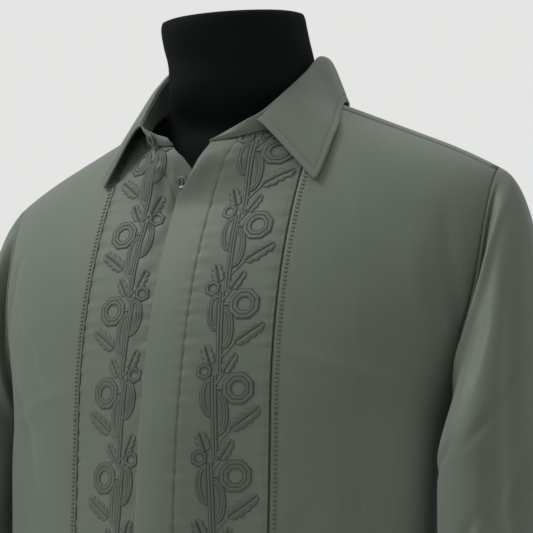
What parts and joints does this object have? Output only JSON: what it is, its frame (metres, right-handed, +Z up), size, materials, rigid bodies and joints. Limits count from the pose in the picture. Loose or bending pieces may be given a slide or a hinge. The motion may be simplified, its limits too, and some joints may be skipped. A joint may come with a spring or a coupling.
{
  "type": "long-sleeved embroidered shirt on a limbless dress form",
  "caption": "Men's embroidered shirt with a turned-down collar, covered placket and buttoned cuffs, on a limbless torso form with a flat base.",
  "frame": {"origin": "on the floor at the foot of the form, below the middle of the neck", "axes": "+Z up, the wearer faces -Y, and the wearer's left is +X"},
  "size_m": [0.5438, 0.2707, 0.8847],
  "materials": {
    "shirt_cloth": "fine plain-woven cloth with a soft sheen and tone-on-tone embroidery",
    "button_plastic": "turned polyester button, satin",
    "form_cover": "tight near-black knitted cover"
  },
  "bodies": {
    "root": {"dress_form": "form_cover", "panel_left": "shirt_cloth", "panel_right": "shirt_cloth", "fly_left": "shirt_cloth", "front_left": "shirt_cloth", "front_right": "shirt_cloth", "back": "shirt_cloth", "yoke": "shirt_cloth", "sleeve_left": "shirt_cloth", "sleeve_right": "shirt_cloth", "cuff_left": "shirt_cloth", "cuff_right": "shirt_cloth", "collar_stand": "shirt_cloth", "collar_fall": "shirt_cloth", "front_button": "button_plastic", "stand_button": "button_plastic", "cuff_button_left": "button_plastic", "cuff_button_right": "button_plastic"}
  },
  "joints": []
}
